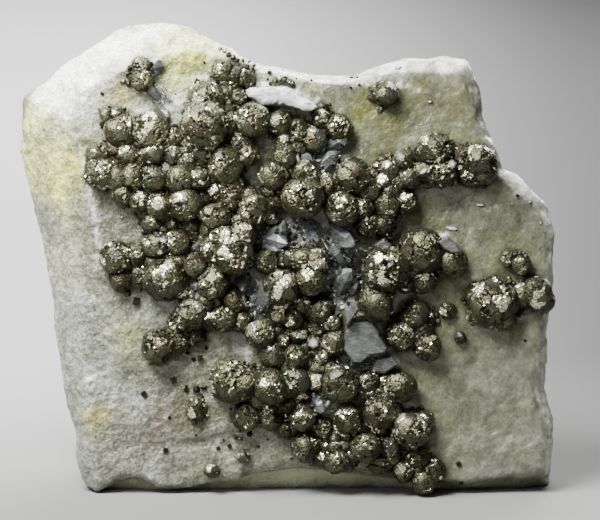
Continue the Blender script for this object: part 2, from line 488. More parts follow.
class Nodes:
    """Short calls for building a node tree."""

    def __init__(self, tree):
        self.tree = tree

    def feed(self, socket, value):
        if isinstance(value, bpy.types.NodeSocket):
            self.tree.links.new(value, socket)
        elif hasattr(value, "__len__") and len(value) == 3 and socket.type == "RGBA":
            socket.default_value = (*value, 1.0)
        else:
            socket.default_value = value

    def add(self, kind, inputs=None, **settings):
        """A node with its settings and its inputs, which go by name or number."""
        made = self.tree.nodes.new(kind)
        for key, value in settings.items():
            setattr(made, key, value)
        for key, value in (inputs or {}).items():
            self.feed(made.inputs[key], value)
        return made


# Materials


class Shader(Nodes):
    """Short calls for building one material; sizes and depths are in millimetres."""

    def __init__(self, name):
        self.material = bpy.data.materials.new(name)
        self.material.use_nodes = True
        super().__init__(self.material.node_tree)
        self.surface = self.tree.nodes["Principled BSDF"]
        self.coordinates = self.add("ShaderNodeTexCoord").outputs["Object"]

    def axes(self):
        return self.add("ShaderNodeSeparateXYZ", {0: self.coordinates}).outputs

    def value_of(self, name):
        return self.add("ShaderNodeAttribute", attribute_name=name).outputs["Fac"]

    def math(self, operation, a, b, clamp=False):
        return self.add("ShaderNodeMath", {0: a, 1: b}, operation=operation, use_clamp=clamp).outputs[0]

    def times(self, a, b):
        return self.math("MULTIPLY", a, b)

    def noise(self, size, detail, roughness, stretch=None, warp=0.0):
        where = self.coordinates
        if stretch:
            where = self.add("ShaderNodeMapping", {"Vector": where, "Scale": stretch}).outputs["Vector"]
        inputs = {"Vector": where, "Scale": 1.0 / (size * MM), "Detail": detail, "Roughness": roughness,
                  "Distortion": warp}
        return self.add("ShaderNodeTexNoise", inputs).outputs["Fac"]

    def cells(self, size, output="Distance"):
        inputs = {"Vector": self.coordinates, "Scale": 1.0 / (size * MM)}
        return self.add("ShaderNodeTexVoronoi", inputs).outputs[output]

    def between(self, value, low, high, out_low=0.0, out_high=1.0):
        """Goes smoothly from one value at low to another at high."""
        inputs = {"Value": value, "From Min": low, "From Max": high, "To Min": out_low, "To Max": out_high}
        return self.add("ShaderNodeMapRange", inputs, interpolation_type="SMOOTHSTEP").outputs["Result"]

    def mix(self, share, a, b, blend="MIX"):
        inputs = {"Factor": share, 6: a, 7: b}
        return self.add("ShaderNodeMix", inputs, data_type="RGBA", blend_type=blend).outputs[2]

    def tint(self, colour, stain, mask, strength):
        return self.mix(self.times(mask, strength), colour, stain)

    def ramp(self, value, stops):
        made = self.add("ShaderNodeValToRGB", {"Fac": value})
        line = made.color_ramp
        while len(line.elements) < len(stops):
            line.elements.new(0.5)
        for element, (place, colour) in zip(line.elements, stops):
            element.position = place
            element.color = (*colour, 1.0)
        return made.outputs["Color"]

    def near(self, place, radius, soft, outline):
        """1 close to a place, fading to 0 between soft times the radius and the radius, unevenly."""
        inputs = {0: self.coordinates, 1: face_place(*place)}
        away = self.add("ShaderNodeVectorMath", inputs, operation="DISTANCE").outputs["Value"]
        uneven = self.times(self.math("SUBTRACT", outline, 0.5), radius * 1.6 * MM)
        return self.between(self.math("ADD", away, uneven), radius * MM, radius * soft * MM)

    def bump(self, height, depth, strength, below=None):
        """The normal of a surface with this height on it, on top of another normal."""
        inputs = {"Strength": strength, "Distance": depth * MM, "Height": height}
        if below is not None:
            inputs["Normal"] = below
        return self.add("ShaderNodeBump", inputs).outputs["Normal"]

    def set(self, **inputs):
        for name, value in inputs.items():
            self.feed(self.surface.inputs[name.replace("_", " ")], value)


def quartz_base(m, cloud, mottle, dimmer, back):
    """Broad colours of the quartz: dull to the right, whiter behind, with stains and clean areas."""
    outline = m.noise(6.0, 5.0, 0.6, warp=0.6)
    colour = m.ramp(cloud, QUARTZ)
    colour = m.tint(colour, QUARTZ_DIM, dimmer, 0.78)
    colour = m.tint(colour, m.mix(m.between(cloud, 0.4, 0.62), BACK_GREY, BACK_WHITE), back, 0.75)
    broken = m.between(mottle, 0.3, 0.6, 0.5, 1.0)
    for u, v, w, radius, stain, strength in STAINS:
        mask = m.times(m.near((u, v, w), radius, 0.1, outline), broken)
        colour = m.tint(colour, stain, mask, strength)
    broken = m.between(mottle, 0.66, 0.44, 0.6, 1.0)
    for u, v, w, radius, strength in BRIGHT:
        mask = m.times(m.near((u, v, w), radius, 0.35, outline), broken)
        colour = m.tint(colour, WHITEST, mask, strength)
    colour = m.tint(colour, CRUST_SHADE, m.value_of("shaded"), 0.55)
    ridge = m.times(m.value_of("ridge"), m.between(mottle, 0.36, 0.6, 0.05, 0.5))
    rim = m.times(m.value_of("rim"), m.between(mottle, 0.3, 0.6, 0.35, 0.8))
    return m.mix(rim, m.mix(ridge, colour, RIDGE_WHITE), RIM_WHITE)


def quartz_material():
    """Sugary, slightly see-through quartz, whiter on the left, greyer and stained elsewhere."""
    m = Shader("sugary_quartz")
    cloud = m.noise(11.0, 4.0, 0.6)
    mottle = m.noise(2.6, 5.0, 0.7)
    grain = m.noise(0.5, 4.0, 0.75)
    axes = m.axes()
    dimmer = m.between(axes["X"], -0.012, 0.024)
    back = m.between(axes["Y"], 0.001, 0.012)
    sugary = m.math("SUBTRACT", m.between(dimmer, 0.0, 1.0, 0.85, 0.35), m.times(back, 0.3), clamp=True)

    colour = quartz_base(m, cloud, mottle, dimmer, back)
    lighter = m.mix(m.between(mottle, 0.38, 0.64), (0.74, 0.74, 0.70), (1.24, 1.24, 1.26))
    colour = m.mix(1.0, colour, lighter, "MULTIPLY")
    speckle = m.mix(m.between(grain, 0.36, 0.62), (0.56, 0.56, 0.53), (1.36, 1.36, 1.38))
    colour = m.mix(m.times(sugary, 0.7), colour, speckle, "MULTIPLY")
    facet = m.cells(0.36, output="Color")
    fleck = m.mix(m.between(facet, 0.25, 0.75), (0.76, 0.76, 0.73), (1.28, 1.28, 1.30))
    colour = m.mix(sugary, colour, fleck, "MULTIPLY")
    colour = m.tint(colour, HOLLOW_BROWN, m.value_of("hollow"), 0.25)
    colour = m.mix(m.between(m.cells(1.9), 0.11, 0.05, 0.0, 0.6), colour, PIT_BROWN)
    druse = m.times(m.value_of("druse"), 0.8)
    grown_over = m.mix(druse, (0.036, 0.034, 0.023), (0.075, 0.076, 0.064))
    colour = m.mix(druse, colour, (0.085, 0.086, 0.072))
    colour = m.tint(colour, grown_over, m.value_of("crowded"), 0.92)
    colour = m.tint(colour, UNDER_OLIVE, m.value_of("under"), 0.9)

    fine = m.bump(mottle, 0.3, 0.4)
    fine = m.bump(m.cells(1.3), 0.30, m.times(sugary, 0.9), fine)
    fine = m.bump(m.cells(0.55), 0.14, m.times(sugary, 0.8), fine)
    fine = m.bump(grain, 0.14, sugary, fine)
    m.set(Base_Color=colour, Roughness=m.between(grain, 0.3, 0.7, 0.22, 0.46), Normal=fine)
    m.set(Subsurface_Weight=0.2, Subsurface_Scale=0.0010, Subsurface_Radius=(1.0, 0.97, 0.85))
    m.set(IOR=1.5, Coat_Weight=0.35, Coat_Roughness=0.1)
    return m.material


def crystal_material():
    """Clear to milky grey quartz crystals with fine lines and bright edges."""
    m = Shader("quartz_crystal")
    cloud = m.noise(2.2, 4.0, 0.6)
    lines = m.noise(0.9, 2.0, 0.5, stretch=(1.0, 1.0, 3.5))
    tone = m.value_of("tone")
    colour = m.mix(m.between(cloud, 0.35, 0.65), (0.048, 0.049, 0.042), (0.100, 0.102, 0.098))
    colour = m.mix(m.between(lines, 0.52, 0.7, 0.0, 0.45), colour, (0.20, 0.205, 0.22))
    colour = m.mix(m.between(tone, 0.4, 0.85, 0.0, 0.5), colour, (0.25, 0.255, 0.28))
    colour = m.mix(m.between(tone, 0.85, 1.0), colour, (0.88, 0.88, 0.90))
    m.set(Base_Color=colour, Roughness=m.between(lines, 0.3, 0.7, 0.12, 0.4))
    m.set(Transmission_Weight=0.25, IOR=1.54, Normal=m.bump(lines, 0.12, 0.5))
    return m.material


def white_material():
    """Milky white quartz for the lying flake, greyer on its lower side."""
    m = Shader("milky_quartz")
    cloud = m.noise(2.4, 4.0, 0.6)
    axes = m.axes()
    height = m.math("ADD", m.math("ADD", axes["Z"], m.times(axes["X"], 0.25)), m.times(cloud, 0.0016))
    colour = m.mix(m.between(cloud, 0.35, 0.65), (0.34, 0.34, 0.345), (0.56, 0.56, 0.58))
    colour = m.mix(m.between(height, 0.0674, 0.0648), colour, (0.11, 0.115, 0.095))
    m.set(Base_Color=colour, Roughness=0.45, Normal=m.bump(cloud, 0.2, 0.5))
    m.set(Subsurface_Weight=0.25, Subsurface_Scale=0.0015)
    return m.material


def pyrite_material():
    """Dull olive brass with dark seams, brown and peach patches and bright crystal faces."""
    m = Shader("pyrite")
    hue = m.value_of("hue")
    mottle = m.noise(0.6, 4.0, 0.7)
    fine = m.noise(0.2, 3.0, 0.65)
    level = m.math("ADD", m.times(m.value_of("tone"), 0.5), m.times(mottle, 0.5))
    level = m.math("ADD", level, m.times(m.between(fine, 0.35, 0.65), 0.3))
    colour = m.ramp(m.math("SUBTRACT", level, 0.2), PYRITE)
    colour = m.mix(m.between(hue, 0.85, 0.97, 0.0, 0.45), colour, (0.080, 0.060, 0.038))
    colour = m.mix(m.between(hue, 0.2, 0.0, 0.0, 0.5), colour, (0.085, 0.088, 0.078))
    shine = m.times(m.value_of("spark"), m.between(fine, 0.36, 0.5))
    colour = m.mix(shine, colour, (0.95, 0.91, 0.68))
    colour = m.tint(colour, (0.010, 0.009, 0.006), m.value_of("crease"), 0.95)
    rough = m.math("SUBTRACT", m.between(mottle, 0.3, 0.7, 0.30, 0.54), m.times(shine, 0.18), clamp=True)
    normal = m.bump(fine, 0.06, 0.6, m.bump(m.cells(0.34), 0.08, 0.7))
    m.set(Base_Color=colour, Metallic=0.84, Roughness=rough, Normal=normal)
    return m.material


# Quartz


def crust_masks(u, v):
    """Three values for places on the face: between the balls, well inside the crust, near the crust."""
    total = np.zeros_like(u)
    nearest = np.full_like(u, 99.0)
    for balls in [CRUST, *APART.values()]:
        for bu, bv, radius, _ in balls:
            away = np.hypot(u - bu, v - bv)
            total += smooth_step(radius + 1.6, radius - 0.3, away)
            nearest = np.minimum(nearest, away - radius)
    return smooth_step(0.5, 1.1, total), smooth_step(0.9, 1.5, total), smooth_step(6.0, 0.0, nearest)


def broken_height(place, size, seed):
    """Height from -1 to 1 of a surface broken into flat pieces, each with its own level and tilt."""
    spot = place / size + Vector((seed, seed * 0.7, seed * 1.9))
    distances, centres = noise.voronoi(spot)
    tilt = noise.noise_vector(centres[0] * 3.7)
    height = noise.noise(centres[0] * 5.3) + tilt.dot(spot - centres[0])
    return height - 0.5 * (1.0 - min(1.0, (distances[1] - distances[0]) / 0.12))


def relief(place, rear):
    """Height of the quartz's broken surface at a place in millimetres, deeper at the rear."""
    height = (0.26 + 0.65 * rear) * broken_height(place, 4.6, 1.7)
    height += (0.10 + 0.16 * rear) * broken_height(place, 1.5, 4.2)
    return height + 0.08 * noise.noise(place * 1.3)


def even_plate():
    """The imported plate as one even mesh, with the crystals on its front taken down."""
    bm = bmesh.new()
    bm.from_mesh(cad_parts["quartz_matrix"].data)
    bmesh.ops.remove_doubles(bm, verts=bm.verts, dist=1e-6)
    thing = add_object("matrix_source", mesh_from(bm, "matrix_source"))
    remesh = thing.modifiers.new("remesh", "REMESH")
    remesh.mode = "VOXEL"
    remesh.voxel_size = VOXEL * MM
    mesh = baked_mesh(thing)
    face = world_to_face(read_points(mesh))
    crest = swell_height(face[:, 0], face[:, 1]) + CREST
    front = face[:, 2] > -2.0
    face[front, 2] = np.minimum(face[front, 2], crest[front])
    write_points(mesh, face_to_world(face))
    return mesh


def matrix_mesh():
    """The plate with its broken, sugary surface, and the values that its material reads."""
    mesh = even_plate()
    normals = read_normals(mesh)
    points = read_points(mesh)
    foot = smooth_step(0.3, 2.0, points[:, 2] / MM)
    rear = smooth_step(-7.0, -13.0, world_to_face(points)[:, 2])
    heights = np.array([relief(Vector(p) / MM, share) for p, share in zip(points, rear)])
    points += normals * (heights * foot * MM)[:, None]
    low, high = (np.array(corner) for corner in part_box("quartz_matrix"))
    points = np.clip(points, low - 0.5 * MM, high + 0.5 * MM)
    points[:, 2] = np.maximum(points[:, 2], 0.0)
    write_points(mesh, points)
    mesh.shade_smooth()

    u, v, w = world_to_face(points).T
    edge = np.interp(u, FOOT_U, FOOT_V)
    cut = smooth_step(-6.0, -2.0, w) * smooth_step(edge, edge - 0.7, points[:, 2] / MM)
    points[:, 1] += cut * FOOT_CUT * MM
    write_points(mesh, points)

    in_front = smooth_step(-3.0, -0.5, w)
    line_u, line_v = np.array(RIDGE)[::-1].T
    ridge = smooth_step(0.6, 0.1, np.abs(u - np.interp(v, line_v, line_u)))
    ridge *= smooth_step(34.0, 44.0, v) * smooth_step(71.0, 66.0, v)
    rim_top = smooth_step(0.35, 0.75, normals[:, 2])
    rim_top *= 1.0 - 0.6 * smooth_step(-8.0, -14.0, u)
    rim_top *= 1.0 - 0.5 * smooth_step(4.0, 12.0, u)
    rim_right = 0.5 * smooth_step(0.4, 0.8, normals[:, 0])
    between, inside, near = crust_masks(u, v)
    druse = np.zeros(len(points))
    for du, dv, radius in DRUSE:
        druse = np.maximum(druse, smooth_step(radius, radius * 0.6, np.hypot(u - du, v - dv)))
    write_values(
        mesh, "POINT",
        under=cut,
        hollow=smooth_step(0.0, -0.4, heights),
        ridge=ridge * in_front,
        rim=np.maximum(rim_top, rim_right) * smooth_step(-7.0, -2.0, w),
        shaded=near * in_front,
        druse=druse * in_front,
        crowded=between * in_front * (1.0 - 0.75 * druse),
        filled=inside * in_front * (1.0 - druse),
    )
    return mesh


def join_rings(bm, rings):
    """Faces between rings of points, and one face on each end."""
    for a, b in zip(rings, rings[1:]):
        for i in range(len(a)):
            j = (i + 1) % len(a)
            bm.faces.new((a[i], a[j], b[j], b[i]))
    bm.faces.new(rings[0])
    bm.faces.new(rings[-1])


def prism(bm, foot, tip, width, thick, turn):
    """A six-sided quartz column with a skewed point."""
    along = tip - foot
    facing = along.to_track_quat("Z", "Y").to_matrix() @ Matrix.Rotation(turn, 3, "Z")
    rings = ([], [], [])
    for k in range(6):
        angle = k * math.pi / 3.0
        x = 0.5 * width * math.cos(angle)
        y = 0.5 * thick * math.sin(angle)
        shoulder = along.length * (0.74 + 0.05 * (k % 3))
        crown = (x * 0.26 + 0.05 * width, y * 0.26, along.length * 1.02)
        for ring, corner in zip(rings, ((x, y, 0.0), (x, y, shoulder), crown)):
            ring.append(bm.verts.new(foot + facing @ Vector(corner)))
    join_rings(bm, rings)


def middle_of(outline):
    return sum(p[0] for p in outline) / len(outline), sum(p[1] for p in outline) / len(outline)


def slab(bm, outline, foot, top, tilt_u, tilt_v):
    """A flat crystal with a bevelled rim."""
    middle = Vector(middle_of(outline))
    rings = []
    for share, shrink in ((0.0, -0.1), (0.72, -0.1), (0.93, 0.12), (1.0, 0.42)):
        ring = []
        for u, v in outline:
            arm = Vector((u, v)) - middle
            arm = arm.normalized() * max(0.1, arm.length - shrink)
            height = foot + (top - foot) * share
            if share > 0.0:
                height += tilt_u * arm.x + tilt_v * arm.y
            ring.append(bm.verts.new((middle.x + arm.x, middle.y + arm.y, height)))
        rings.append(ring)
    join_rings(bm, rings)


def crystals_mesh(ground):
    """The larger quartz crystals between the balls and the small bright flakes."""
    bm = bmesh.new()
    dice = random.Random(7)
    tones = []

    def tell(share):
        while len(tones) < len(bm.faces):
            tones.append(min(1.0, dice.random() ** 2 * share + 0.1))

    for i, (fu, fv, fw, tu, tv, tw, width, thick) in enumerate(PRISMS):
        foot = Vector((fu, fv, fw + float(swell_height(fu, fv)) - 1.2))
        tip = Vector((tu, tv, tw + float(swell_height(tu, tv))))
        prism(bm, foot, tip, width + 0.15, thick + 0.15, 0.3 + i * 0.7)
        for _ in range(3):
            side = Vector((dice.uniform(-1, 1), dice.uniform(-1, 1), 0.0)) * width * 0.55
            shorter = foot.lerp(tip, dice.uniform(0.6, 0.85))
            prism(bm, foot + side, shorter + side * 1.2, width * 0.5, thick * 0.5, i + side.x)
        tell(0.8)
    for u, v, count, length in NEEDLES:
        foot = Vector((u, v, float(swell_height(u, v)) + 0.4))
        for _ in range(count):
            way = Vector((dice.uniform(-1, 1), dice.uniform(-1, 1), dice.uniform(0.35, 1.1))).normalized()
            start = foot + Vector((dice.uniform(-0.9, 0.9), dice.uniform(-0.9, 0.9), 0.0))
            prism(bm, start, start + way * length * dice.uniform(0.6, 1.1), 0.2, 0.16, dice.random())
        tell(0.9)
    for outline, foot, top, tilt_u, tilt_v in PLATES:
        raised = float(swell_height(*middle_of(outline))) * 0.7
        slab(bm, outline, foot, top + raised + 0.1, tilt_u, tilt_v)
        tell(0.5)
    for u, v, wide, tall, turn in FLAKES:
        height = ground.height(u, v)
        if height is None:
            continue
        across = Vector((math.cos(math.radians(turn)), math.sin(math.radians(turn))))
        up = Vector((-across.y, across.x))
        outline = []
        for k in range(6):
            a = k * math.pi / 3.0
            rise = up * tall * math.sin(a) * dice.uniform(0.8, 1.25)
            outline.append(Vector((u, v)) + across * wide * math.cos(a) + rise)
        slab(bm, outline, height - 0.8, height + 0.3, dice.uniform(-0.2, 0.2), dice.uniform(0.0, 0.3))
        tell(0.2)
        tones[-8:] = [0.9] * 7 + [1.0]
    bmesh.ops.recalc_face_normals(bm, faces=bm.faces)
    mesh = mesh_from(bm, "quartz_crystals")
    place_on_face(mesh)
    write_values(mesh, "FACE", tone=tones)
    return mesh


def flake_mesh():
    """The soft-edged white flake that lies across the top of the crust."""
    bm = bmesh.new()
    slab(bm, FLAKE, -0.6, 3.5, 0.02, -0.16)
    bmesh.ops.recalc_face_normals(bm, faces=bm.faces)
    mesh = mesh_from(bm, "quartz_flake")
    place_on_face(mesh)
    thing = add_object("flake_source", mesh)
    thing.modifiers.new("smooth", "SUBSURF").levels = 3
    mesh = baked_mesh(thing)
    mesh.shade_smooth()
    points = read_points(mesh)
    rough = np.zeros(len(points))
    for height, pitch in ((0.45, 0.6), (0.22, 1.7), (0.07, 4.0)):
        rough += [height * noise.noise(Vector(p) / MM * pitch) for p in points]
    write_points(mesh, points + read_normals(mesh) * rough[:, None] * MM)
    return mesh


class Ground:
    """Finds the front surface of finished pieces, in face millimetres."""

    def __init__(self, *things):
        points = []
        faces = []
        for thing in things:
            start = len(points)
            points.extend(world_to_face(read_points(thing.data)).tolist())
            faces.extend([start + k for k in polygon.vertices] for polygon in thing.data.polygons)
        self.tree = BVHTree.FromPolygons(points, faces)

    def height(self, u, v):
        place = self.tree.ray_cast(Vector((u, v, 30.0)), Vector((0.0, 0.0, -1.0)))[0]
        return place.z if place is not None else None


# Pyrite


def spread(count, dice):
    """Directions spread over a sphere, turned and shaken by the dice."""
    i = np.arange(count)
    height = 1.0 - 2.0 * (i + 0.5) / count
    ring = np.sqrt(1.0 - height * height)
    made = np.column_stack((ring * np.cos(i * GOLDEN_ANGLE), ring * np.sin(i * GOLDEN_ANGLE), height))
    made += dice.normal(0.0, 0.55 / math.sqrt(count), made.shape)
    turn = np.linalg.qr(dice.normal(size=(3, 3)))[0]
    return unit_rows(made @ turn)


def unit_ball(count, seed):
    """A closed ball of even triangles: its points and its faces."""
    dice = np.random.default_rng(seed)
    bm = bmesh.new()
    for p in spread(count, dice):
        bm.verts.new(p)
    bmesh.ops.convex_hull(bm, input=bm.verts)
    bmesh.ops.recalc_face_normals(bm, faces=bm.faces)
    bm.verts.ensure_lookup_table()
    bm.verts.index_update()
    points = np.array([v.co for v in bm.verts])
    faces = np.array([[v.index for v in f.verts] for f in bm.faces])
    bm.free()
    return points, faces


def nearest_plate(directions, centres):
    """Index of the plate that each direction meets, and the angle to its seam, as a negative value."""
    bent = directions + 0.07 * np.sin(directions[:, [1, 2, 0]] * 5.3 + centres[0] * 9.0)
    bent += 0.03 * np.sin(directions[:, [2, 0, 1]] * 13.0 + centres[1] * 9.0)
    dots = np.clip(bent @ centres.T, -1.0, 1.0)
    rows = np.arange(len(directions))
    first = dots.argmax(axis=1)
    best = dots[rows, first]
    dots[rows, first] = -2.0
    return first, np.arccos(best) - np.arccos(dots.max(axis=1))


class BallSkin:
    """The faces of one pyrite ball: broad plates with seams between them, and small faces on those."""

    def __init__(self, radius, seed):
        dice = np.random.default_rng(seed)
        self.radius = radius
        broad = int(max(8, 16.0 * radius ** 2 / (1.5 + 0.3 * radius) ** 2))
        small = int(max(30, 40.0 * radius ** 2))
        self.broad = spread(broad, dice)
        self.broad_tilt = unit_rows(self.broad + dice.normal(0.0, 0.10, self.broad.shape))
        self.broad_level = 1.0 + dice.uniform(-0.09, 0.04, broad)
        self.broad_grit = np.where(dice.random(broad) < 0.55, 0.25, 1.0)
        self.stretch = dice.uniform(0.92, 1.06, 3)
        self.broad_tone = dice.uniform(0.0, 1.0, broad)
        self.broad_hue = dice.uniform(0.0, 1.0, broad)
        self.half_angle = math.sqrt(4.0 / broad) * 0.62
        self.small = spread(small, dice)
        self.small_tilt = dice.normal(0.0, 0.20, self.small.shape)
        self.small_level = dice.normal(0.0, 0.03, small)
        self.small_tone = dice.uniform(0.0, 1.0, small)

    def reach(self, directions):
        """Distance of the surface from the middle, and how deep in a seam it is."""
        plate, gap = nearest_plate(directions, self.broad)
        across = np.einsum("ij,ij->i", directions, self.broad_tilt[plate])
        flat = self.broad_level[plate] * math.cos(self.half_angle) / np.maximum(across, 0.5)
        round_off = self.broad_level[plate] * 0.985
        reach = (FLATNESS * flat + (1.0 - FLATNESS) * round_off) * self.radius
        crease = np.exp(-(gap * self.radius / SEAM_WIDTH) ** 2)
        reach -= SEAM_DEPTH * crease
        face, _ = nearest_plate(directions, self.small)
        lean = np.einsum("ij,ij->i", directions - self.small[face], self.small_tilt[face])
        reach += self.broad_grit[plate] * (self.small_level[face] + lean * self.radius)
        reach *= np.linalg.norm(directions * self.stretch, axis=1)
        return np.minimum(reach, self.radius * 1.04), crease

    def tones(self, directions, dice):
        """Brightness, hue and share of fresh, bright face in each direction."""
        plate, gap = nearest_plate(directions, self.broad)
        face, _ = nearest_plate(directions, self.small)
        grit = self.broad_grit[plate]
        tone = 0.6 * self.broad_tone[plate] + 0.4 * (0.4 + grit * (self.small_tone[face] - 0.4))
        lit = np.clip(directions @ GLINT_SIDE, 0.0, 1.0)
        rare = 0.98 - 0.16 * lit - 0.02 * min(1.0, self.radius - 1.0)
        spark = (self.small_tone[face] > rare) & (grit > 0.5) & (gap * self.radius < -SEAM_WIDTH)
        broad = (self.broad_tone[plate] > 0.985 - 0.09 * lit) & (dice.random(len(directions)) > 0.15)
        return tone, self.broad_hue[plate], np.maximum(spark, broad * 0.8)


def filled(group):
    """A group of balls with smaller ones added in its gaps, so that it reads as one grown mass."""
    dice = random.Random(31)
    placed = list(group)
    spots = [(u, v) for u in np.arange(-33.0, 44.0, FILL_STEP) for v in np.arange(2.0, 72.0, FILL_STEP)]
    dice.shuffle(spots)
    for u, v in spots:
        if any(math.hypot(u - du, v - dv) < 0.75 * radius for du, dv, radius in DRUSE):
            continue
        around = [(math.hypot(u - b[0], v - b[1]) - b[2], b) for b in placed if abs(u - b[0]) < 6.0]
        gap = min(around)[0] if around else 99.0
        if gap < -0.4 or gap > 1.2:
            continue
        around = [b for away, b in around if away < 1.8]
        angles = sorted(math.atan2(b[1] - v, b[0] - u) for b in around)
        widest = max(b - a for a, b in zip(angles, angles[1:] + [angles[0] + 2.0 * math.pi]))
        if len(around) < 3 or widest > 2.5:
            continue
        radius = min(2.1, max(0.85, gap + dice.uniform(1.0, 1.4)))
        lift = 0.85 * sum(b[3] for b in around) / len(around) + dice.uniform(-0.55, 0.0)
        placed.append((u, v, radius, lift, True))
    return placed


def one_ball(u, v, radius, lift, share, seed, shape, quiet):
    """The points of a ball in face millimetres, its triangles and their values."""
    directions, triangles = shape
    dice = np.random.default_rng(seed)
    turn = np.linalg.qr(dice.normal(size=(3, 3)))[0]
    if np.linalg.det(turn) < 0.0:
        turn[:, 0] *= -1.0
    directions = unit_rows(directions @ turn + OUTWARD)
    skin = BallSkin(radius * share, seed)
    reach, crease = skin.reach(directions)
    middle = (u, v, float(swell_height(u, v)) + CENTRE_HEIGHT * skin.radius + lift)
    tone, hue, spark = skin.tones(unit_rows(directions[triangles].mean(axis=1)), dice)
    tone = tone + UPPER_LEFT_TONE * float(smooth_step(5.0, -15.0, u) * smooth_step(35.0, 50.0, v))
    if quiet:
        tone = tone * 0.7
        spark = spark * (dice.random(len(spark)) > 0.5)
    return directions * reach[:, None] + middle, triangles, crease, tone, hue, spark


def balls_mesh(name, balls, seed, shapes):
    """Several balls in one mesh, each with its own skin."""
    share = FULLNESS if len(balls) > 3 else ALONE_FULLNESS
    made = []
    for i, (u, v, radius, lift, *filler) in enumerate(balls):
        shape = next(shape for (most, _), shape in zip(BALL_DETAIL, shapes) if radius < most)
        made.append(one_ball(u, v, radius, lift, share, seed + i, shape, bool(filler)))
    points, triangles, crease, tone, hue, spark = zip(*made)
    starts = np.cumsum([0] + [len(part) for part in points[:-1]])
    faces = np.concatenate([part + start for part, start in zip(triangles, starts)])
    points = face_to_world(np.concatenate(points))
    points[:, 2] = np.maximum(points[:, 2], 0.1 * MM)
    mesh = bpy.data.meshes.new(name)
    mesh.from_pydata(points.tolist(), [], faces.tolist())
    write_values(mesh, "POINT", crease=np.concatenate(crease))
    write_values(
        mesh, "FACE", tone=np.concatenate(tone), hue=np.concatenate(hue), spark=np.concatenate(spark))
    return mesh


def add_pyrite(material):
    """The crust in four pieces, from the top down, and each group that stands apart."""
    shapes = [unit_ball(count, 11 + i) for i, (_, count) in enumerate(BALL_DETAIL)]
    crust = sorted(filled(CRUST) + BEADS, key=lambda ball: -ball[1])
    share = math.ceil(len(crust) / 4)
    groups = [(f"pyrite_crust_{k + 1}", "pyrite_crust", crust[k * share:(k + 1) * share]) for k in range(4)]
    for node, balls in APART.items():
        groups.append((node + "_skin", node, filled(balls) if len(balls) > 3 else balls))
    pieces = []
    for number, (name, node, balls) in enumerate(groups):
        mesh = balls_mesh(name, balls, 100 * (number + 1), shapes)
        pieces.append(new_piece(name, mesh, material))
        finish_piece(pieces[-1], "pyrite", node)
    return pieces


def specks_mesh(ground):
    """Tiny pyrite cubes on the bare quartz."""
    bm = bmesh.new()
    dice = random.Random(19)
    for u, v, size in SPECKS:
        height = ground.height(u, v)
        if height is None:
            continue
        made = bmesh.ops.create_cube(bm, size=size * 1.7)["verts"]
        turn = dice.uniform(0.0, 3.0)
        axis = Vector((dice.random(), dice.random(), 1.0)).normalized()
        bmesh.ops.rotate(bm, matrix=Matrix.Rotation(turn, 3, axis), verts=made)
        bmesh.ops.translate(bm, vec=(u, v, height + size * 0.5), verts=made)
    mesh = mesh_from(bm, "pyrite_specks")
    place_on_face(mesh)
    count = len(mesh.polygons)
    write_values(mesh, "FACE", tone=[dice.random() * 0.15 for _ in range(count)], hue=[0.5] * count)
    return mesh


# Small crystals scattered over a surface


def crystal_shape(name, kind, seed):
    """A small crystal of unit size to scatter: a many-faced grain or a quartz point."""
    bm = bmesh.new()
    dice = np.random.default_rng(seed)
    if kind == "grain":
        for p in spread(14, dice):
            bm.verts.new(Vector(p) * dice.uniform(0.86, 1.0))
        bmesh.ops.convex_hull(bm, input=bm.verts)
    else:
        prism(bm, Vector((0.0, 0.0, -0.5)), Vector((0.0, 0.0, 1.2)), 0.8, 0.65, 0.4 * seed)
    bmesh.ops.recalc_face_normals(bm, faces=bm.faces)
    return bpy.data.objects.new(name, mesh_from(bm, name))


